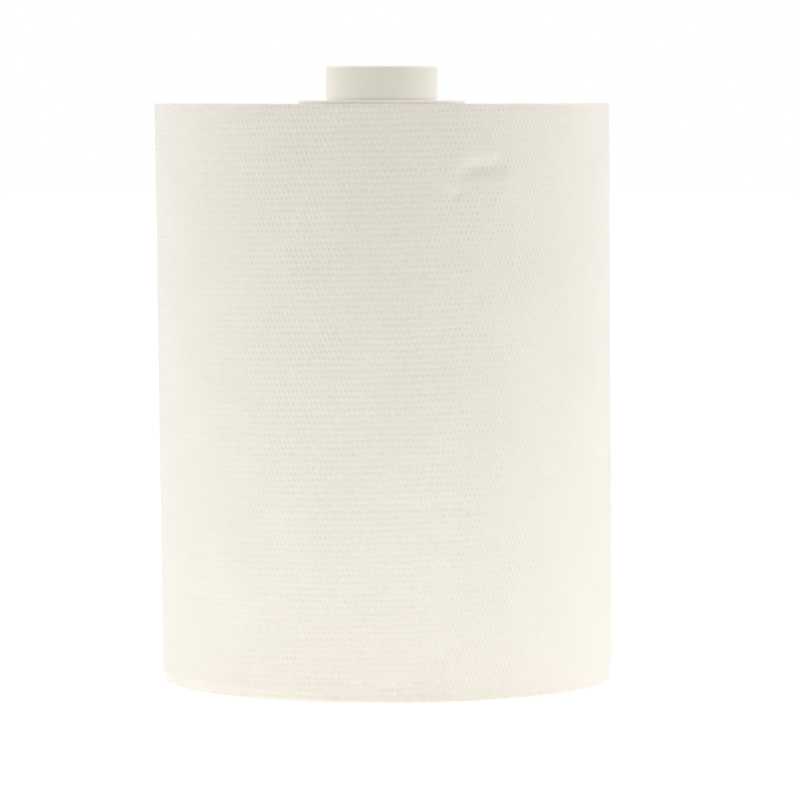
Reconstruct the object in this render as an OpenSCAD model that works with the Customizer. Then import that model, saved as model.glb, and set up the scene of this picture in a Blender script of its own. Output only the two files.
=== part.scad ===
// Paper hand towel roll with a moulded core plug, standing on end. Millimetres, +Z up.
// The origin is the centre of the roll's lower end face. The photographed side faces -Y.

/* [Paper] */
// Width of the paper web, which is the roll's height when it stands on end
web_w = 210; // [150:1:250]
// Diameter of the wound paper at its upper end
roll_d = 165.5; // [130:0.5:200]
// How much smaller the wound paper is across at its lower end
roll_taper = 1; // [0:0.1:4]
// Break of the two outer rims, where the cut paper is a little crushed
rim_break = 0.6; // [0.2:0.1:2]
// Thickness of the outermost sheet, which shows as a step at the web's loose end
sheet_t = 0.35; // [0.2:0.05:1]

/* [Turn lines on the end faces] */
// Radial distance from one turn line to the next
turn_pitch = 4; // [2.5:0.1:8]
// Width of a turn line
turn_line_w = 0.9; // [0.4:0.1:1.5]
// Depth of a turn line
turn_line_depth = 0.4; // [0.2:0.05:1]
// Plain paper between the core and the first turn line
inner_land = 3; // [1:0.5:8]
// Plain paper between the last turn line and the rim, at least
outer_land = 4; // [2:0.5:12]

/* [Core tube] */
// Bore of the cardboard core
core_bore = 39; // [34:0.5:46]
// Wall of the cardboard core
core_wall = 1.8; // [1:0.1:3]
// How far the plug has opened up the core's bore, on the radius
seat_stretch = 0.3; // [0.1:0.05:0.5]
// Free length of the seat below the plug's spigot
seat_spare = 0.5; // [0.2:0.1:3]

/* [Plug stub] */
// Diameter of the stub that turns in the dispenser's arm
stub_d = 40.8; // [36:0.1:48]
// Height of the stub above the flange
stub_h = 12.5; // [8:0.1:25]
// Rounding of the stub's top edge
stub_edge_r = 0.8; // [0.3:0.1:2]
// Wall of the stub and of its closed top
stub_wall = 1.8; // [1:0.1:3]
// Depth of the relief groove round the foot of the stub
relief_depth = 0.3; // [0.2:0.05:0.8]
// Height of the relief groove
relief_h = 0.8; // [0.5:0.1:2]

/* [Plug flange] */
// Diameter of the flange that lies on the paper's end
flange_d = 60.6; // [50:0.2:80]
// Thickness of the flange
flange_t = 1.2; // [0.8:0.1:2.5]
// Rounding of the flange's upper edge
flange_edge_r = 0.4; // [0.1:0.1:0.7]

/* [Plug spigot] */
// Length of the spigot inside the core
spigot_len = 25; // [15:1:50]
// Wall of the spigot
spigot_wall = 1.6; // [1:0.1:2.5]
// Gap between the spigot and the core's seat, on the radius
spigot_gap = 0.35; // [0.2:0.05:0.6]
// Length of the tapered lead-in at the spigot's tip
lead_in = 3; // [1:0.5:5]
// How far the lead-in narrows, on the radius
lead_in_drop = 0.7; // [0.2:0.1:1]
// Number of crush ribs round the spigot
rib_count = 8; // [3:1:16]
// Radius of a crush rib's round crest
rib_r = 0.9; // [0.6:0.1:1.5]
// Gap between a crush rib's crest and the core's seat
rib_gap = 0.05; // [0.02:0.01:0.15]

/* [Hidden] */

// Segments of a full circle, and of one on a small rounded edge
$fn = 50;
EDGE_FN = 16;
// Overshoot of a cutting shape past the face that it cuts
CUT = 1;
HALF_TURN = 180;
// Places the web's loose end on +Y, at the back of the roll
TAIL_ANGLE = 90;

PAPER_COLOR = "#ece8dc";
CORE_COLOR = "#a98f6b";
PLUG_COLOR = "#eeede8";

core_r = core_bore / 2;
core_outer_r = core_r + core_wall;
seat_r = core_r + seat_stretch;
seat_depth = spigot_len + seat_spare;

roll_top_r = roll_d / 2;
roll_foot_r = roll_top_r - roll_taper / 2;
first_line_r = core_outer_r + inner_land;
last_line_r = roll_foot_r - rim_break - outer_land;
line_turns = max(0, floor((last_line_r - first_line_r) / turn_pitch));

stub_r = stub_d / 2;
stub_foot_z = web_w + flange_t;
stub_top_z = stub_foot_z + stub_h;
flange_r = flange_d / 2;
spigot_r = seat_r - spigot_gap;
spigot_foot_z = web_w - spigot_len;
stub_hollow_r = stub_r - stub_wall;
spigot_hollow_r = spigot_r - spigot_wall;
rib_centre_r = seat_r - rib_gap - rib_r;
rib_foot_z = spigot_foot_z + lead_in;

// One half turn of a shape drawn at a radius from its centre, on the side of +Y for the first
// half and of -Y for the second
module half_turn(second) {
    rotate([0, 0, second ? HALF_TURN : 0])
        rotate_extrude(angle = HALF_TURN)
            children();
}

// Half of the wound paper as a solid of revolution. The second half has a radius that is larger
// by extra, and its centre lies that far along +X, so that both halves run smoothly into each other.
module wound_half(second, extra) {
    foot_r = roll_foot_r + extra;
    top_r = roll_top_r + extra;
    translate([extra, 0, 0])
        half_turn(second)
            polygon([
                [0, 0],
                [foot_r - rim_break, 0],
                [foot_r, rim_break],
                [top_r, web_w - rim_break],
                [top_r - rim_break, web_w],
                [0, web_w]
            ]);
}

// One spiral line between neighbouring turns, as a shallow V cut into the end face at height z.
// Each half turn is half a pitch wider than the last, about a centre moved by as much.
module turn_line(z) {
    half_step = turn_pitch / 2;
    for (i = [0 : 2 * line_turns - 1]) {
        second = i % 2 == 1;
        translate([second ? half_step : 0, 0, z])
            half_turn(second)
                translate([first_line_r + i * half_step, 0])
                    polygon([
                        [-turn_line_w / 2, 0],
                        [0, -turn_line_depth],
                        [turn_line_w / 2, 0],
                        [0, turn_line_depth]
                    ]);
    }
}

module paper_roll() {
    color(PAPER_COLOR)
        rotate([0, 0, TAIL_ANGLE])
            difference() {
                union() {
                    wound_half(false, 0);
                    wound_half(true, sheet_t / 2);
                }
                translate([0, 0, -CUT])
                    cylinder(h = web_w + 2 * CUT, r = core_outer_r);
                turn_line(0);
                turn_line(web_w);
            }
}

module core_tube() {
    color(CORE_COLOR)
        difference() {
            cylinder(h = web_w, r = core_outer_r);
            translate([0, 0, -CUT])
                cylinder(h = web_w + 2 * CUT, r = core_r);
            translate([0, 0, web_w - seat_depth])
                cylinder(h = seat_depth + CUT, r = seat_r);
        }
}

// Half section of a disc or drum of radius r from z0 to z1, with its upper edge rounded
module rounded_section(r, z0, z1, edge_r) {
    translate([0, z0])
        square([r, z1 - z0 - edge_r]);
    translate([0, z0])
        square([r - edge_r, z1 - z0]);
    intersection() {
        translate([r - edge_r, z1 - edge_r])
            circle(r = edge_r, $fn = EDGE_FN);
        translate([r - edge_r, z1 - edge_r])
            square(edge_r);
    }
}

module plug_section() {
    rounded_section(stub_r, web_w, stub_top_z, stub_edge_r);
    rounded_section(flange_r, web_w, stub_foot_z, flange_edge_r);
    polygon([
        [0, spigot_foot_z],
        [spigot_r - lead_in_drop, spigot_foot_z],
        [spigot_r, rib_foot_z],
        [0, rib_foot_z]
    ]);
}

// Outline of the spigot above its lead-in, with the crush ribs on it
module ribbed_outline() {
    circle(r = spigot_r);
    for (i = [0 : rib_count - 1])
        rotate([0, 0, i * 360 / rib_count])
            translate([rib_centre_r, 0])
                circle(r = rib_r, $fn = EDGE_FN);
}

// The moulding's hollow, open at the spigot's tip and closed by the top of the stub
module plug_hollow() {
    translate([0, 0, spigot_foot_z - CUT])
        cylinder(h = spigot_len + CUT, r = spigot_hollow_r);
    translate([0, 0, spigot_foot_z])
        cylinder(h = spigot_len + flange_t + stub_wall, r = min(stub_hollow_r, spigot_hollow_r));
    translate([0, 0, stub_foot_z])
        cylinder(h = stub_h - stub_wall, r = stub_hollow_r);
}

module core_plug() {
    color(PLUG_COLOR)
        difference() {
            union() {
                rotate_extrude()
                    plug_section();
                translate([0, 0, rib_foot_z])
                    linear_extrude(height = web_w - rib_foot_z)
                        ribbed_outline();
            }
            plug_hollow();
            translate([0, 0, stub_foot_z])
                difference() {
                    cylinder(h = relief_h, r = stub_r + CUT);
                    translate([0, 0, -CUT])
                        cylinder(h = relief_h + 2 * CUT, r = stub_r - relief_depth);
                }
        }
}

paper_roll();
core_tube();
core_plug();
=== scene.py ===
import math

import bpy
import numpy as np
from mathutils import Matrix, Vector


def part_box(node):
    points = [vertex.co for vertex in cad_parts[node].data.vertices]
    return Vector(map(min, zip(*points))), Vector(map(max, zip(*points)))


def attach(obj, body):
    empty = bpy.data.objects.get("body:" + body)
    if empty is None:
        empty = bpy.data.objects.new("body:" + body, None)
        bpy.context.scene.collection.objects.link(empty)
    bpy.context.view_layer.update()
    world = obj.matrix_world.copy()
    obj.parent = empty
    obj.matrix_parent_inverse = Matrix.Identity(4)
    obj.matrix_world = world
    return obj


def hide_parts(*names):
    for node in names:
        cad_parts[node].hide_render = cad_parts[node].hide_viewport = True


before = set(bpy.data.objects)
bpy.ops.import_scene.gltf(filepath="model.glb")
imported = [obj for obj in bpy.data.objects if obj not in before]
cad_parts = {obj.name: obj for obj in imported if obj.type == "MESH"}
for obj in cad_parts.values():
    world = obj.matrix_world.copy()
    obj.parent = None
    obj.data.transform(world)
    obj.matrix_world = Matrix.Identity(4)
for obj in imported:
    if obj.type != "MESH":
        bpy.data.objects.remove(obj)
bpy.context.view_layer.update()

# Lengths of the paper are worked out in millimetres, +Z up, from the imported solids
MM = 0.001
PAPER_LOW, PAPER_HIGH = (np.array(corner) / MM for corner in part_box("paper_roll"))
CORE_HIGH = np.array(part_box("core_tube")[1]) / MM
PLUG_HIGH = np.array(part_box("core_plug")[1]) / MM
WEB_W = PAPER_HIGH[2]
ROLL_TOP_R = -PAPER_LOW[1]
SHEET_T = PAPER_HIGH[1] + PAPER_LOW[1]
CORE_OUTER_R = CORE_HIGH[0]
FLANGE_R = PLUG_HIGH[0]

# The wound paper. Angles run from the front, -Y, towards +X, so that the web's loose end is at half a turn.
# The foot is narrower by its inset, on the radius, and leans to the right.
FOOT_INSET = 0.45
FOOT_LEAN = 2.0
# Rounding of both rims, and the turns in radians at which it has a row of points
RIM = 0.6
RIM_TURNS = (0.45, 0.9, 1.35)
# Faces round the side and up it between the rims
COLUMNS = 260
ROWS = 140
# Height of the band below and above each rim that follows the rim's waves
TOP_BAND = 14
FOOT_BAND = 10
# Turns on the end faces: distance between them, depth of the groove between two, plain paper next to the
# core and to the rim, how far a turn's crest lies below the end plane at most, and how far the whole face
# does on average
TURN_GAP = 1.2
TURN_GROOVE = 0.34
INNER_LAND = 0.8
OUTER_LAND = 1.0
CREST_DROP = 0.26
FACE_DROP = 0.10
# Share of the grooves that are deep ones, how much deeper those are, and the least and most that chance
# multiplies the depth of a groove by
DEEP_SHARE = 0.27
DEEPER = 2.2
DEPTH_CHANCE = (0.6, 1.3)
# Broad unevenness of the end faces: number of waves, shortest and longest wave in mm
FACE_SWELL = (12, 20, 70)
# How deep the turns are within the flange's radius and at the rim, as shares of their depth elsewhere
FLANGE_SHARE = 0.25
RIM_SHARE = 0.4
# Distance past the flange's edge at which they get deeper, and the way it takes for that
FLANGE_REACH = 0.5
FLANGE_WAY = 4
# Distance from the rim at which an end face starts to follow the rim's wave, and the way it takes for that
RIM_REACH = 12
RIM_WAY = 11
# How far inside the core's end an end face meets the core
CORE_DROP = 0.05
# Seeds of the turns on the end faces
TOP_SEED = 31
FOOT_SEED = 57
# The web's loose end: how far it lifts off at most, over what length, the steady and the wavy share of the
# lift, and what the height is divided by in its two waves
TAIL_LIFT = 0.7
TAIL_LENGTH = 9.0
TAIL_SHARES = (0.55, 0.45)
TAIL_WAVES = (17.0, 6.1)
# Unevenness of the side, broad and fine: size in mm, seed, number of waves, shortest and longest wave, and
# the factor on its slope round the roll, which draws waves out that way where it is below 1
BROAD_DENTS = (0.10, 11, 26, 30, 160, 1.0)
FINE_DENTS = (0.035, 12, 22, 7, 22, 0.35)

# The camera, in metres and degrees
CAMERA_HEIGHT = 0.213
CAMERA_DISTANCE = 1.8
CAMERA_TILT = 3.542
CAMERA_TURN = 0.2117
CAMERA_LENS = 221.44
SENSOR_WIDTH = 36.0
VIEW_END = 60.0

# Linear colours
PAPER_COLOR = (0.8, 0.761, 0.68)
PAPER_EDGE_COLOR = (0.8, 0.758, 0.672)
BOARD_COLOR = (0.43, 0.32, 0.2)
PLUG_COLOR = (0.935, 0.905, 0.83)


# Shapes in numbers
def smooth_step(x):
    x = np.clip(x, 0.0, 1.0)
    return x * x * (3 - 2 * x)


def waves(seed, count, shortest, longest, slope_x=1.0):
    """A smooth random height over a plane in mm, about 1 at its most, as a function of x and y. Long waves
    are higher than short ones, and all are drawn out along x where slope_x is below 1."""
    rng = np.random.default_rng(seed)
    lengths = shortest * (longest / shortest) ** rng.random(count)
    turns = rng.uniform(0, math.tau, count)
    phases = rng.uniform(0, math.tau, count)
    sizes = (lengths / longest) ** 0.7
    sizes /= sizes.sum() * 0.5

    def height(x, y):
        total = np.zeros(np.broadcast(x, y).shape)
        for length, turn, phase, size in zip(lengths, turns, phases, sizes):
            along = x * math.cos(turn) * slope_x + y * math.sin(turn)
            total += size * np.sin(math.tau * along / length + phase)
        return total

    return height


def spaced(low, high, cells, density):
    """cells + 1 places from low to high, closer together where density is larger."""
    fine = np.linspace(low, high, 6001)
    weight = density((fine[1:] + fine[:-1]) / 2)
    reached = np.concatenate([[0], np.cumsum(weight)])
    return np.interp(np.linspace(0, reached[-1], cells + 1), reached, fine)


# Marks on the side of the roll: (degrees from the front, height) of both ends, height of the fold
# above the paper, or below it where negative, and its width above and below its line, all in mm.
# The first two are the crease and the short fold below it, the last three are at the foot.
FOLDS = [
    ((17.6, 185.6), (33.0, 188.5), -1.1, 3.0, 3.2),
    ((16.4, 175.6), (19.8, 179.8), -0.42, 1.6, 1.0),
    ((28.4, 171.8), (29.0, 178.4), 0.25, 1.0, 0.8),
    ((66.0, 184.0), (67.0, 191.5), 0.22, 0.9, 0.9),
    ((-21.0, 64.6), (32.0, 65.4), -0.16, 1.2, 0.8),
    ((-75.0, 197.0), (-58.0, 197.4), -0.1, 0.9, 0.7),
    ((-63.0, 111.0), (-38.0, 111.6), -0.09, 1.0, 0.7),
    ((16.0, 179.4), (40.0, 180.2), -0.1, 1.1, 0.8),
    ((-14.0, 5.2), (9.0, 3.2), -0.12, 1.1, 0.8),
    ((-8.0, 2.4), (4.0, 5.4), -0.1, 1.0, 0.7),
    ((27.0, 3.0), (33.0, 6.8), -0.14, 1.1, 0.8),
]
# How far a fold bows up in its middle, and over how much of it each end fades, as shares of its length
FOLD_BOW = 0.05
FOLD_ENDS = (0.3, 0.25)
# Columns and rows of faces are closer at the folds: place in degrees or mm, width, how much closer
COLUMN_DETAIL = [(26, 9, 2.6), (66.5, 2.5, 1.2)]
ROW_DETAIL = [(184, 8, 2.8), (65, 2.5, 2.6), (197, 1.5, 1.6), (111.3, 1.5, 1.6)]
# So are columns near the front and the loose end, and rows near the foot: how far from there in degrees or
# mm, the way over which that fades, how much closer
FRONT_DETAIL = (85, 30, 0.6)
TAIL_DETAIL = (8, 6, 2.0)
FOOT_DETAIL = (9, 3, 2.4)


def fold_heights(angles, z):
    """How far the folds push the side outwards, for arrays of angles in radians and heights in mm."""
    total = np.zeros(np.broadcast(angles, z).shape)
    u = ROLL_TOP_R * angles
    for (a0, z0), (a1, z1), size, above, below in FOLDS:
        u0, u1 = ROLL_TOP_R * math.radians(a0), ROLL_TOP_R * math.radians(a1)
        length = math.hypot(u1 - u0, z1 - z0)
        along_u, along_z = (u1 - u0) / length, (z1 - z0) / length
        along = (u - u0) * along_u + (z - z0) * along_z
        across = (z - z0) * along_u - (u - u0) * along_z
        bow = FOLD_BOW * length * (1 - ((2 * along / length) - 1) ** 2)
        across = across - np.clip(bow, 0, None)
        width = np.where(across > 0, above, below)
        rise, fall = (share * length for share in FOLD_ENDS)
        ends = smooth_step(along / rise) * smooth_step((length - along) / fall)
        total += size * ends * np.exp(-((across / width) ** 2))
    return total


def closer_at(x, table):
    return sum(size * np.exp(-(((x - centre) / width) ** 2)) for centre, width, size in table)


def closer_within(x, end, way, size):
    return size * smooth_step((end - x) / way)


def side_columns():
    """Angle of each column of points on the side, from the loose end once round."""
    def density(a):
        degrees = np.degrees(a)
        front = closer_within(abs(degrees), *FRONT_DETAIL)
        tail = closer_within(180 - abs(degrees), *TAIL_DETAIL)
        return 1 + front + tail + closer_at(degrees, COLUMN_DETAIL)

    return spaced(-math.pi, math.pi, COLUMNS, density)


def side_rows():
    """(height, distance in from the side) of each row of points on the side, from foot to top."""
    def density(z):
        return 1 + closer_within(z, *FOOT_DETAIL) + closer_at(z, ROW_DETAIL)

    plain = spaced(RIM, WEB_W - RIM, ROWS, density)
    corner = [(RIM * (1 - math.sin(t)), RIM * (1 - math.cos(t))) for t in RIM_TURNS]
    foot = [(drop, inset) for inset, drop in corner]
    top = [(WEB_W - drop, inset) for inset, drop in reversed(corner)]
    return foot + [(z, 0.0) for z in plain] + top


# Height of the rims in mm at degrees from the front: of the upper one above its plane, and of the lower
# one above the floor
TOP_RIM = [
    (-180, -0.1), (-120, 0.0), (-90, 0.1), (-70, 0.12), (-45, 0.2), (-20, 0.1), (0, 0.12), (20, 0.08),
    (40, 0.15), (60, 0.3), (80, 0.3), (100, 0.15), (130, 0.0), (180, -0.1),
]
FOOT_RIM = [
    (-180, 0.2), (-110, 0.15), (-70, 0.05), (-45, 0.2), (-20, 0.25), (0, 0.12), (15, 0.08), (35, 0.0),
    (80, 0.0), (110, 0.1), (180, 0.2),
]
# Fine unevenness of these lines: height of the waves in mm, number of waves in a turn, and shift
RIM_WAVES = [(0.03, 13, 1.0), (0.02, 29, 0.0)]
# Degrees on both sides of a place over which these lines are evened out
RIM_SOFT = 11
# How far the side is pushed in at its foot in mm, at degrees from the front, up to what height in mm on
# average, and how much higher that is on the right
FOOT_CRUSH = [
    (-180, 0.0), (-130, 0.0), (-95, 0.5), (-60, 0.8), (-30, 0.6), (0, 0.1), (40, 0.0), (62, 0.3), (80, 1.1),
    (95, 1.15), (130, 0.0), (180, 0.0),
]
CRUSH_HEIGHT = 6.2
CRUSH_RISE = 2.8


def rim_height(table, angles):
    """A smooth line round the roll near the table's heights, with some fine unevenness."""
    degrees, heights = zip(*table)
    rough = np.interp(np.arange(-180, 180), degrees, heights)
    closed = np.concatenate([rough[-RIM_SOFT:], rough, rough[:RIM_SOFT]])
    weight = np.hanning(2 * RIM_SOFT + 1)
    soft = np.convolve(closed, weight / weight.sum(), "valid")
    height = np.interp(np.degrees(angles), np.arange(-180, 181), np.append(soft, soft[0]))
    for size, count, shift in RIM_WAVES:
        height = height + size * np.sin(count * angles + shift)
    return height


def top_wave(angles):
    return rim_height(TOP_RIM, angles)


def foot_wave(angles):
    return np.maximum(rim_height(FOOT_RIM, angles), 0.0)


def foot_crush(angles, z):
    """How far the side is pushed in near its foot."""
    reach = CRUSH_HEIGHT + CRUSH_RISE * np.sin(angles)
    return np.maximum(rim_height(FOOT_CRUSH, angles), 0.0) * smooth_step((reach - z) / reach)


def lean(z, share):
    """Sideways shift of the paper towards its foot. The turns next to the core stay on it."""
    return FOOT_LEAN * (1 - z / WEB_W) * share


def to_points(radius, angles, z, share):
    x = radius * np.sin(angles) + lean(z, share)
    y = -radius * np.cos(angles)
    return np.stack(np.broadcast_arrays(x, y, z), axis=-1)


class MeshParts:
    """Collects points and faces of one mesh, with a material number and a flat map in metres."""

    def __init__(self):
        self.points, self.faces, self.slots, self.maps = [], [], [], []
        self.count = 0

    def add_points(self, points):
        points = np.asarray(points, float).reshape(-1, 3)
        first = self.count
        self.points.append(points)
        self.count += len(points)
        return first + np.arange(len(points))

    def add_face(self, corners, slot=0, flat=None):
        self.faces.append([int(c) for c in corners])
        self.slots.append(slot)
        self.maps.append(flat or [(0.0, 0.0)] * len(corners))

    def add_grid(self, ids, slot=0, flat=None, flip=False):
        """Faces between the rows and columns of a table of point numbers."""
        rows, columns = ids.shape
        for j in range(rows - 1):
            for i in range(columns - 1):
                places = [(j, i), (j, i + 1), (j + 1, i + 1), (j + 1, i)]
                if flip:
                    places.reverse()
                uv = [tuple(flat[p]) for p in places] if flat is not None else None
                self.add_face([ids[p] for p in places], slot, uv)

    def build(self, name, materials):
        mesh = bpy.data.meshes.new(name)
        mesh.from_pydata((np.concatenate(self.points) * MM).tolist(), [], self.faces)
        for material in materials:
            mesh.materials.append(material)
        mesh.polygons.foreach_set("material_index", self.slots)
        layer = mesh.uv_layers.new(name="wrap")
        layer.data.foreach_set("uv", np.array([c for uv in self.maps for c in uv], np.float32).ravel())
        mesh.polygons.foreach_set("use_smooth", [True] * len(self.faces))
        mesh.update()
        mesh.validate()
        piece = bpy.data.objects.new(name, mesh)
        bpy.context.scene.collection.objects.link(piece)
        return piece


def paper_side(angles):
    """Points of the side: one row for each height, one column for each angle, both ends at the back."""
    rows = side_rows()
    z = np.array([row[0] for row in rows])[:, None]
    inset = np.array([row[1] for row in rows])[:, None]
    a = angles[None, :]
    turned = (a + math.pi) / math.tau
    radius = ROLL_TOP_R - FOOT_INSET * (1 - z / WEB_W) + SHEET_T * turned
    u = ROLL_TOP_R * a
    for size, *kind in (BROAD_DENTS, FINE_DENTS):
        radius = radius + size * waves(*kind)(u, z)
    radius = radius + fold_heights(a, z) - foot_crush(a, z)
    tail = smooth_step((u - ROLL_TOP_R * math.pi + TAIL_LENGTH) / TAIL_LENGTH)
    steady, wavy = TAIL_SHARES
    uneven = steady + wavy * np.sin(z / TAIL_WAVES[0] + 1.0) * np.sin(z / TAIL_WAVES[1])
    radius = radius + TAIL_LIFT * tail * uneven
    near_top = smooth_step((z - WEB_W + TOP_BAND) / TOP_BAND)
    near_foot = smooth_step((FOOT_BAND - z) / FOOT_BAND)
    height = z + near_top * top_wave(a) + near_foot * foot_wave(a)
    flat = np.stack(np.broadcast_arrays(u * MM, z * MM), axis=-1)
    return to_points(radius - inset, a, height, 1.0), flat


def turn_lines(angles, seed):
    """(radius, depth below the end plane, angle) of the crest and groove lines that wind outwards
    over an end face. The lines are as long as the spiral, and each turn has its own height."""
    rng = np.random.default_rng(seed)
    first = CORE_OUTER_R + INNER_LAND
    turns = int((ROLL_TOP_R - FOOT_INSET - RIM - OUTER_LAND - first) / TURN_GAP)
    per_turn = len(angles) - 1
    steps = np.arange(turns * per_turn + 1)
    turned = steps // per_turn + (angles[steps % per_turn] + math.pi) / math.tau
    a = turned * math.tau - math.pi
    draws = turns + 3
    own = rng.random(draws)
    deep = np.where(rng.random(draws) < DEEP_SHARE, DEEPER, 1.0) * rng.uniform(*DEPTH_CHANCE, draws)
    at = np.arange(draws)
    crest = CREST_DROP * np.interp(turned, at, own)
    groove = crest + TURN_GROOVE * np.interp(turned, at, deep)
    swell = waves(seed + 1, *FACE_SWELL)
    line = {}
    for name, offset, depth in (("groove", 0.0, groove), ("crest", 0.5, crest)):
        radius = first + TURN_GAP * (turned + offset)
        depth = depth + FACE_DROP * (1 + swell(radius * np.sin(a), radius * np.cos(a)))
        line[name] = (radius, depth, a)
    return line, turns, per_turn


def add_end_face(parts, angles, side_ring, at_top, seed):
    """The wound end face between the core and the side's last row, and its ring of points at the core."""
    line, turns, per_turn = turn_lines(angles, seed)
    wave = top_wave if at_top else foot_wave
    ids = {}
    for name, (radius, depth, a) in line.items():
        outward = (radius - CORE_OUTER_R) / (ROLL_TOP_R - CORE_OUTER_R)
        near_rim = smooth_step((radius - ROLL_TOP_R + RIM_REACH) / RIM_WAY)
        past_flange = smooth_step((radius - FLANGE_R - FLANGE_REACH) / FLANGE_WAY)
        depth = depth * (FLANGE_SHARE + (1 - FLANGE_SHARE) * past_flange)
        rim_rise = wave((a + math.pi) % math.tau - math.pi)
        if at_top:
            z = WEB_W - depth * (1 - near_rim) + near_rim * (rim_rise - RIM_SHARE * depth)
        else:
            z = depth * (1 - near_rim) + near_rim * (rim_rise + RIM_SHARE * depth)
        ids[name] = parts.add_points(to_points(radius, a, z, outward))
    core = angles[:-1]
    core_z = WEB_W - CORE_DROP if at_top else CORE_DROP
    ring = parts.add_points(to_points(CORE_OUTER_R, core, np.full(len(core), core_z), 0.0))
    ring = np.append(ring, ring[0])
    rows = [ring]
    for k in range(turns):
        span = slice(k * per_turn, (k + 1) * per_turn + 1)
        rows += [ids["groove"][span], ids["crest"][span]]
    rows.append(side_ring)
    for inner, outer in zip(rows[:-1], rows[1:]):
        parts.add_grid(np.stack([inner, outer]), slot=1, flip=at_top)
    inner_seam = [ring[0], ids["groove"][0], ids["crest"][0], ids["groove"][per_turn]]
    outer_seam = [rows[-2][0], side_ring[0], side_ring[-1], rows[-2][-1], rows[-3][-1]]
    for seam in (inner_seam, outer_seam):
        parts.add_face(seam if at_top else seam[::-1], 1)
    return ring


def make_paper(side_material, end_material):
    """The wound paper as one closed mesh: side, step of the loose end, both end faces and the bore."""
    parts = MeshParts()
    angles = side_columns()
    points, flat = paper_side(angles)
    ids = parts.add_points(points).reshape(points.shape[:2])
    parts.add_grid(ids, slot=0, flat=flat)
    tail = np.stack([ids[:, -1], ids[:, 0]], axis=1)
    parts.add_grid(tail, slot=1)
    top = add_end_face(parts, angles, ids[-1], True, TOP_SEED)
    foot = add_end_face(parts, angles, ids[0], False, FOOT_SEED)
    parts.add_grid(np.stack([top, foot]), slot=1)
    return parts.build("wound_paper", [side_material, end_material])


# Materials
class Nodes:
    """Short ways to add and link shader nodes of one material or world."""

    def __init__(self, tree):
        self.tree = tree
        tree.nodes.clear()

    def add(self, kind, inputs=None, **settings):
        made = self.tree.nodes.new(kind)
        for name, value in settings.items():
            setattr(made, name, value)
        for name, value in (inputs or {}).items():
            self.set(made.inputs[name], value)
        return made

    def set(self, socket, value):
        if isinstance(value, bpy.types.NodeSocket):
            self.tree.links.new(value, socket)
        else:
            socket.default_value = value

    def math(self, operation, *values):
        made = self.add("ShaderNodeMath", operation=operation)
        for socket, value in zip(made.inputs, values):
            self.set(socket, value)
        return made.outputs[0]

    def between(self, value, low, high, to_low=0.0, to_high=1.0, kind="SMOOTHSTEP"):
        made = self.add("ShaderNodeMapRange", interpolation_type=kind)
        for socket, number in zip(made.inputs, (value, low, high, to_low, to_high)):
            self.set(socket, number)
        return made.outputs[0]

    def noise(self, vector, scale, detail=2.0, roughness=0.5):
        inputs = {"Vector": vector, "Scale": scale, "Detail": detail, "Roughness": roughness}
        return self.add("ShaderNodeTexNoise", inputs).outputs["Fac"]

    def mix(self, share, first, second):
        made = self.add("ShaderNodeMix", data_type="RGBA")
        self.set(made.inputs["Factor"], share)
        self.set(made.inputs["A"], first)
        self.set(made.inputs["B"], second)
        return made.outputs["Result"]

    def length(self, x, y):
        level = self.add("ShaderNodeCombineXYZ", {"X": x, "Y": y})
        made = self.add("ShaderNodeVectorMath", {"Vector": level.outputs["Vector"]}, operation="LENGTH")
        return made.outputs["Value"]

    def ring_noise(self, radius, scale, detail):
        inputs = {"W": radius, "Scale": scale, "Detail": detail}
        return self.add("ShaderNodeTexNoise", inputs, noise_dimensions="1D").outputs["Fac"]


def shade(rgb, share):
    return (*(c * share for c in rgb), 1.0)


def new_material(name):
    material = bpy.data.materials.new(name)
    material.use_nodes = True
    return material, Nodes(material.node_tree)


def finish_material(nodes, base, roughness, height, **plain):
    """Ends a material with its shader. The height of its relief is in mm."""
    relief = nodes.add("ShaderNodeBump", {"Height": height, "Distance": MM, "Strength": 1.0})
    inputs = {"Base Color": base, "Roughness": roughness, "Normal": relief.outputs["Normal"]}
    shader = nodes.add("ShaderNodeBsdfPrincipled", inputs)
    for name, value in plain.items():
        shader.inputs[name.replace("_", " ")].default_value = value
    out = nodes.add("ShaderNodeOutputMaterial")
    nodes.set(out.inputs["Surface"], shader.outputs["BSDF"])


# Embossing in mm: gap between the dots of a row and between the staggered rows, how far a row climbs in
# each mm round the roll and wanders at most, and the depth of the dots, crepe lines and fibres
DOT_GAP = 1.77
ROW_GAP = 2.25
ROW_RISE = 0.022
ROW_WANDER = 0.45
DOT_DEPTH = 0.093
CREPE_DEPTH = 0.03
FIBRE_DEPTH = 0.03
# Fineness of the crepe lines round the roll and up it
CREPE_SCALE = (5200.0, 900.0, 1.0)
# The dots are a sum of waves. By the number of waves in two rows: how strong the staggered waves are, how
# strong the waves along whole rows are, and how far a wave is shifted, in radians. The slant is one more
# staggered wave, which draws the dots out along one diagonal.
STAGGERED = {1: 1.12, 3: 0.55}
WHOLE_ROWS = {2: 0.31, 4: 0.1}
SHIFTS = {2: -0.6, 3: -1.15, 4: -1.2}
SLANT = -0.2
# Near the foot the dots are fainter: from and up to which height in mm, and their share of the full depth
# at either
FOOT_DOTS = (0.0, 150.0, 0.8, 1.0)
# Left and right of the front too: the distances in mm over which it comes and goes, and by how much
FAINT_FROM = (10.0, 85.0)
FAINT_TO = (100.0, 165.0)
FAINTER = 0.46
# Heights in metres of the band along the upper rim that is painted paler: a painted highlight where the
# edge catches the light
RIM_HIGHLIGHT_BAND = ((WEB_W - 0.5) * MM, (WEB_W - 0.15) * MM)


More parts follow.
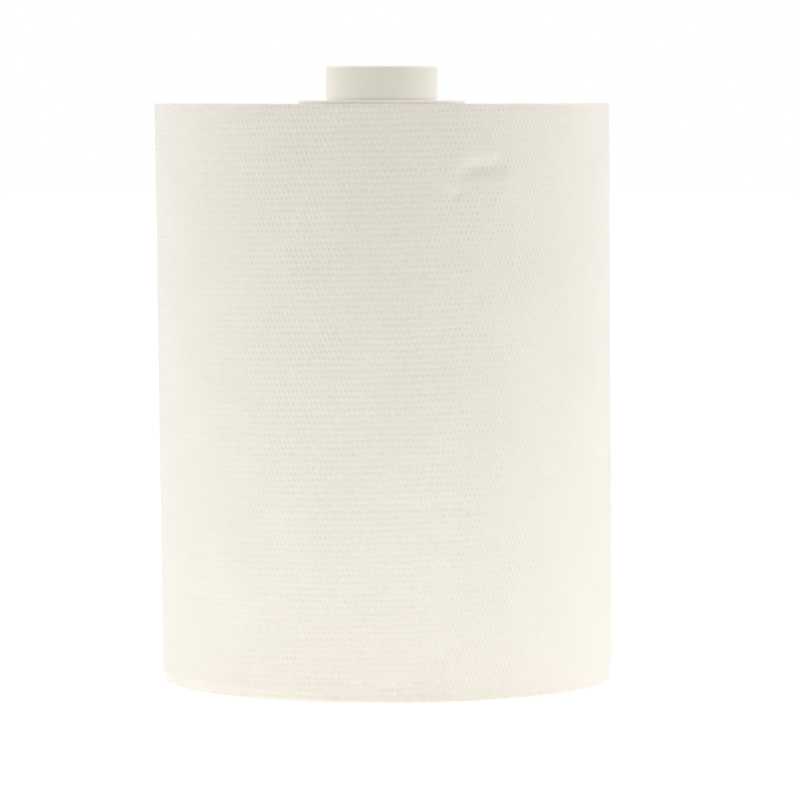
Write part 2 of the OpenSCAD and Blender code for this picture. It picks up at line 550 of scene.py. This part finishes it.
def embossed_paper():
    """Tissue with staggered rows of small pressed dots, fine crepe lines across the web, and blotches."""
    material, n = new_material("embossed_tissue")
    flat = n.add("ShaderNodeUVMap", uv_map="wrap").outputs["UV"]
    place = n.add("ShaderNodeTexCoord").outputs["Object"]
    split = n.add("ShaderNodeSeparateXYZ", {"Vector": flat})
    wander = n.math("MULTIPLY_ADD", n.noise(flat, 60.0, 1.0), 2 * ROW_WANDER, -ROW_WANDER)
    u = n.math("MULTIPLY_ADD", split.outputs["X"], 1 / MM, wander)
    v = n.math("MULTIPLY_ADD", split.outputs["Y"], 1 / MM, wander)
    v = n.math("MULTIPLY_ADD", u, -ROW_RISE, v)
    turned = n.math("MULTIPLY", u, math.tau / DOT_GAP)
    risen = n.math("MULTIPLY", v, math.pi / ROW_GAP)
    across, up = n.math("COSINE", turned), n.math("COSINE", risen)
    slant = n.math("MULTIPLY", n.math("SINE", turned), n.math("SINE", risen))
    shifted = {
        order: n.math("COSINE", n.math("MULTIPLY_ADD", risen, float(order), shift))
        for order, shift in SHIFTS.items()
    }
    dots = n.math("MULTIPLY_ADD", shifted[3], STAGGERED[3], n.math("MULTIPLY", up, STAGGERED[1]))
    dots = n.math("MULTIPLY_ADD", slant, SLANT, n.math("MULTIPLY", across, dots))
    for order, strength in WHOLE_ROWS.items():
        dots = n.math("MULTIPLY_ADD", shifted[order], strength, dots)
    worn = n.between(n.noise(place, 90.0, 3.0), 0.3, 0.7, 0.85, 1.08)
    worn = n.math("MULTIPLY", worn, n.between(n.noise(place, 700.0, 1.0), 0.25, 0.75, 0.8, 1.2))
    worn = n.math("MULTIPLY", worn, n.between(v, *FOOT_DOTS))
    aside = n.math("ABSOLUTE", u)
    pressed = n.math("SUBTRACT", n.between(aside, *FAINT_FROM), n.between(aside, *FAINT_TO))
    worn = n.math("MULTIPLY", worn, n.math("MULTIPLY_ADD", pressed, -FAINTER, 1.0))
    dots = n.math("MULTIPLY", dots, worn)
    crepe_place = n.add("ShaderNodeMapping", {"Vector": flat, "Scale": CREPE_SCALE})
    crepe = n.noise(crepe_place.outputs["Vector"], 1.0, 2.0, 0.6)
    fibres = n.noise(place, 2600.0, 3.0, 0.65)
    height = n.math("MULTIPLY", dots, -DOT_DEPTH)
    height = n.math("MULTIPLY_ADD", crepe, CREPE_DEPTH, height)
    height = n.math("MULTIPLY_ADD", fibres, FIBRE_DEPTH, height)
    blotch = n.between(n.noise(place, 38.0, 3.0), 0.3, 0.7)
    base = n.mix(blotch, shade(PAPER_COLOR, 0.985), shade(PAPER_COLOR, 1.012))
    base = n.mix(n.math("MULTIPLY", fibres, 0.25), base, shade(PAPER_COLOR, 0.97))
    # Painted highlight: the paper is paler in a thin band along the upper rim, where the edge catches the
    # light
    rim_highlight = n.between(n.add("ShaderNodeSeparateXYZ", {"Vector": place}).outputs["Z"], *RIM_HIGHLIGHT_BAND)
    base = n.mix(rim_highlight, base, shade(PAPER_COLOR, 1.13))
    roughness = n.between(fibres, 0.2, 0.8, 0.84, 0.95, "LINEAR")
    plain = {"Specular_IOR_Level": 0.25, "Sheen_Weight": 0.55, "Sheen_Roughness": 0.5}
    finish_material(n, base, roughness, height, **plain)
    return material


# How far the rings on the end faces wander, in metres, and the depth in mm of the fine rings, the broad
# ones and the fibres
RING_WANDER = 0.0006
FINE_RING_DEPTH = 0.22
BROAD_RING_DEPTH = 0.25
EDGE_FIBRE_DEPTH = 0.12


def wound_ends():
    """Cut edges of the web on the roll's ends: close rings, some of them darker, which is painted shade
    where a ring lies lower.
    """
    material, n = new_material("wound_paper_edges")
    place = n.add("ShaderNodeTexCoord").outputs["Object"]
    split = n.add("ShaderNodeSeparateXYZ", {"Vector": place})
    wander = n.noise(place, 30.0, 2.0)
    radius = n.math("MULTIPLY_ADD", wander, RING_WANDER, n.length(split.outputs["X"], split.outputs["Y"]))
    fine = n.ring_noise(radius, 3200.0, 2.0)
    broad = n.ring_noise(radius, 520.0, 3.0)
    fibres = n.noise(place, 2200.0, 3.0, 0.6)
    height = n.math("MULTIPLY", fine, FINE_RING_DEPTH)
    height = n.math("MULTIPLY_ADD", broad, BROAD_RING_DEPTH, height)
    height = n.math("MULTIPLY_ADD", fibres, EDGE_FIBRE_DEPTH, height)
    # Painted shade: the rings are darker where their relief is lower, in the grooves between the turns
    base = n.mix(n.between(fine, 0.3, 0.6), shade(PAPER_EDGE_COLOR, 0.9), shade(PAPER_EDGE_COLOR, 1.0))
    base = n.mix(n.between(broad, 0.35, 0.6), shade(PAPER_EDGE_COLOR, 0.88), base)
    roughness = n.between(fibres, 0.2, 0.8, 0.88, 0.97, "LINEAR")
    finish_material(n, base, roughness, height, Specular_IOR_Level=0.2)
    return material


# The board: how far its strip climbs in a turn, and the thickness of a layer, in metres, half the width
# of the seam as a share of a turn, and the depth in mm of the fibres, the seam and the layers
BOARD_CLIMB = 0.102
BOARD_LAYER = 0.00045
SEAM_WIDTH = 0.006
BOARD_FIBRE_DEPTH = 0.1
SEAM_DEPTH = 0.3
LAYER_DEPTH = 0.04


def core_board():
    """Grey-brown board wound in a slant: one seam line that climbs the bore, and layers at the cut ends."""
    material, n = new_material("spiral_wound_board")
    place = n.add("ShaderNodeTexCoord").outputs["Object"]
    split = n.add("ShaderNodeSeparateXYZ", {"Vector": place})
    x, y, z = (split.outputs[axis] for axis in "XYZ")
    turn = n.math("MULTIPLY", n.math("ARCTAN2", x, n.math("MULTIPLY", y, -1.0)), 1 / math.tau)
    climb = n.math("SUBTRACT", n.math("MULTIPLY", z, 1 / BOARD_CLIMB), turn)
    seam = n.math("ABSOLUTE", n.math("SUBTRACT", n.math("FRACT", climb), 0.5))
    seam = n.between(seam, 0.0, SEAM_WIDTH, 1.0, 0.0)
    layers = n.math("SINE", n.math("MULTIPLY", n.length(x, y), math.tau / BOARD_LAYER))
    fibres = n.noise(place, 900.0, 4.0, 0.65)
    flecks = n.between(n.noise(place, 1500.0, 2.0), 0.62, 0.72)
    base = n.mix(fibres, shade(BOARD_COLOR, 0.8), shade(BOARD_COLOR, 1.15))
    base = n.mix(n.math("MULTIPLY", flecks, 0.5), base, shade(BOARD_COLOR, 0.55))
    base = n.mix(n.math("MULTIPLY", n.between(layers, 0.2, 1.0), 0.25), base, shade(BOARD_COLOR, 0.6))
    base = n.mix(n.math("MULTIPLY", seam, 0.7), base, shade(BOARD_COLOR, 0.4))
    height = n.math("MULTIPLY", fibres, BOARD_FIBRE_DEPTH)
    height = n.math("MULTIPLY_ADD", seam, -SEAM_DEPTH, height)
    height = n.math("MULTIPLY_ADD", layers, LAYER_DEPTH, height)
    roughness = n.between(fibres, 0.2, 0.8, 0.75, 0.92, "LINEAR")
    finish_material(n, base, roughness, height, Specular_IOR_Level=0.3)
    return material


# Depth in mm of the plastic's skin and of the unevenness from its flow in the mould
SKIN_DEPTH = 0.012
FLOW_DEPTH = 0.05


def plug_plastic():
    """White moulded plastic with a fine skin and slightly uneven gloss."""
    material, n = new_material("moulded_white_plastic")
    place = n.add("ShaderNodeTexCoord").outputs["Object"]
    skin = n.noise(place, 2400.0, 2.0)
    flow = n.noise(place, 70.0, 3.0)
    height = n.math("MULTIPLY", skin, SKIN_DEPTH)
    height = n.math("MULTIPLY_ADD", flow, FLOW_DEPTH, height)
    base = n.mix(n.between(flow, 0.3, 0.7), shade(PLUG_COLOR, 0.985), shade(PLUG_COLOR, 1.01))
    roughness = n.between(flow, 0.3, 0.7, 0.36, 0.44, "LINEAR")
    finish_material(n, base, roughness, height, Specular_IOR_Level=0.45)
    return material


def dress(node, material):
    """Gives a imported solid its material."""
    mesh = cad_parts[node].data
    mesh.materials.clear()
    mesh.materials.append(material)


# Stage, camera and light
FLOOR_R = 9.0
FLOOR_CORNERS = 64
FLOOR_COLOR = (0.9, 0.9, 0.9, 1.0)
# What only the camera sees on top of the floor's own light
FLOOR_GLOW = 0.2
# Light that the lit table adds to the object: its strength, its distance in front of the axis, and its
# reach to the sides and to the front, in metres
TABLE_LIGHT = 0.952
TABLE_FRONT = 0.186
TABLE_REACH = (0.399, 0.197)


def make_floor():
    """A pale floor that takes the object's shadow. A pool of light on it is seen by the object alone."""
    material, n = new_material("white_floor")
    path = n.add("ShaderNodeLightPath")
    place = n.add("ShaderNodeNewGeometry").outputs["Position"]
    split = n.add("ShaderNodeSeparateXYZ", {"Vector": place})
    across = n.math("MULTIPLY", split.outputs["X"], 1 / TABLE_REACH[0])
    along = n.math("MULTIPLY_ADD", split.outputs["Y"], 1 / TABLE_REACH[1], TABLE_FRONT / TABLE_REACH[1])
    spread = n.math("ADD", n.math("MULTIPLY", across, across), n.math("MULTIPLY", along, along))
    pool = n.math("EXPONENT", n.math("MULTIPLY", spread, -1.0))
    pool = n.math("MULTIPLY", n.math("MULTIPLY", pool, TABLE_LIGHT), path.outputs["Is Diffuse Ray"])
    seen = n.math("MULTIPLY", path.outputs["Is Camera Ray"], FLOOR_GLOW)
    base = n.add("ShaderNodeBsdfDiffuse", {"Color": FLOOR_COLOR})
    glow = n.add("ShaderNodeEmission", {"Strength": n.math("ADD", pool, seen)})
    both = n.add("ShaderNodeAddShader")
    n.set(both.inputs[0], base.outputs["BSDF"])
    n.set(both.inputs[1], glow.outputs["Emission"])
    out = n.add("ShaderNodeOutputMaterial")
    n.set(out.inputs["Surface"], both.outputs["Shader"])
    turns = [math.tau * i / FLOOR_CORNERS for i in range(FLOOR_CORNERS)]
    mesh = bpy.data.meshes.new("floor")
    points = [(FLOOR_R * math.cos(t), FLOOR_R * math.sin(t), 0.0) for t in turns]
    mesh.from_pydata(points, [], [list(range(FLOOR_CORNERS))])
    mesh.materials.append(material)
    floor = bpy.data.objects.new("floor", mesh)
    bpy.context.scene.collection.objects.link(floor)


# Brightness of the tent: its mean, its first and second wave round the axis from the front, how much
# brighter its right side is than its mean, its roof, and the heights of the way between wall and roof
TENT_MEAN = 1.024
TENT_WAVE = -0.471
TENT_SECOND_WAVE = -0.541
TENT_SIDE_WAVE = 0.025
TENT_ROOF = 1.08
ROOF_BAND = (0.5, 0.85)


def make_world():
    """A white tent that is darkest behind the camera and brightest at both sides. What the camera
    and reflections see of it is plain white."""
    world = bpy.data.worlds.new("tent")
    bpy.context.scene.world = world
    world.use_nodes = True
    n = Nodes(world.node_tree)
    way = n.add("ShaderNodeTexCoord").outputs["Generated"]
    split = n.add("ShaderNodeSeparateXYZ", {"Vector": way})
    level = n.add("ShaderNodeCombineXYZ", {"X": split.outputs["X"], "Y": split.outputs["Y"]})
    unit = n.add("ShaderNodeVectorMath", {"Vector": level.outputs["Vector"]}, operation="NORMALIZE")
    to_right, to_back, _ = n.add("ShaderNodeSeparateXYZ", {"Vector": unit.outputs["Vector"]}).outputs
    wall = n.math("MULTIPLY_ADD", to_back, -TENT_WAVE, TENT_MEAN - TENT_SECOND_WAVE)
    wall = n.math("MULTIPLY_ADD", to_right, TENT_SIDE_WAVE, wall)
    wall = n.math("MULTIPLY_ADD", n.math("MULTIPLY", to_back, to_back), 2 * TENT_SECOND_WAVE, wall)
    high = n.between(split.outputs["Z"], *ROOF_BAND)
    wall = n.math("MULTIPLY", wall, n.math("SUBTRACT", 1.0, high))
    light = n.math("MULTIPLY_ADD", high, TENT_ROOF, wall)
    path = n.add("ShaderNodeLightPath")
    plain = n.math("ADD", path.outputs["Is Camera Ray"], path.outputs["Is Glossy Ray"])
    plain = n.math("ADD", plain, path.outputs["Is Transmission Ray"])
    plain = n.math("MINIMUM", plain, 1.0)
    strength = n.math("MULTIPLY_ADD", light, n.math("SUBTRACT", 1.0, plain), plain)
    background = n.add("ShaderNodeBackground", {"Color": (1.0, 1.0, 1.0, 1.0), "Strength": strength})
    out = n.add("ShaderNodeOutputWorld")
    n.set(out.inputs["Surface"], background.outputs["Background"])


def make_camera():
    camera = bpy.data.cameras.new("camera")
    camera.lens = CAMERA_LENS
    camera.sensor_width = SENSOR_WIDTH
    camera.clip_end = VIEW_END
    holder = bpy.data.objects.new("camera", camera)
    bpy.context.scene.collection.objects.link(holder)
    turned = Matrix.Rotation(math.radians(-CAMERA_TURN), 4, "Z")
    tilted = Matrix.Rotation(math.radians(90 - CAMERA_TILT), 4, "X")
    place = Matrix.Translation((0.0, -CAMERA_DISTANCE, CAMERA_HEIGHT))
    holder.matrix_world = place @ turned @ tilted
    bpy.context.scene.camera = holder


make_camera()
make_world()
make_floor()

paper = make_paper(embossed_paper(), wound_ends())
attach(paper, "root")
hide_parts("paper_roll")
dress("core_tube", core_board())
dress("core_plug", plug_plastic())

bpy.context.scene.view_settings.view_transform = "Standard"
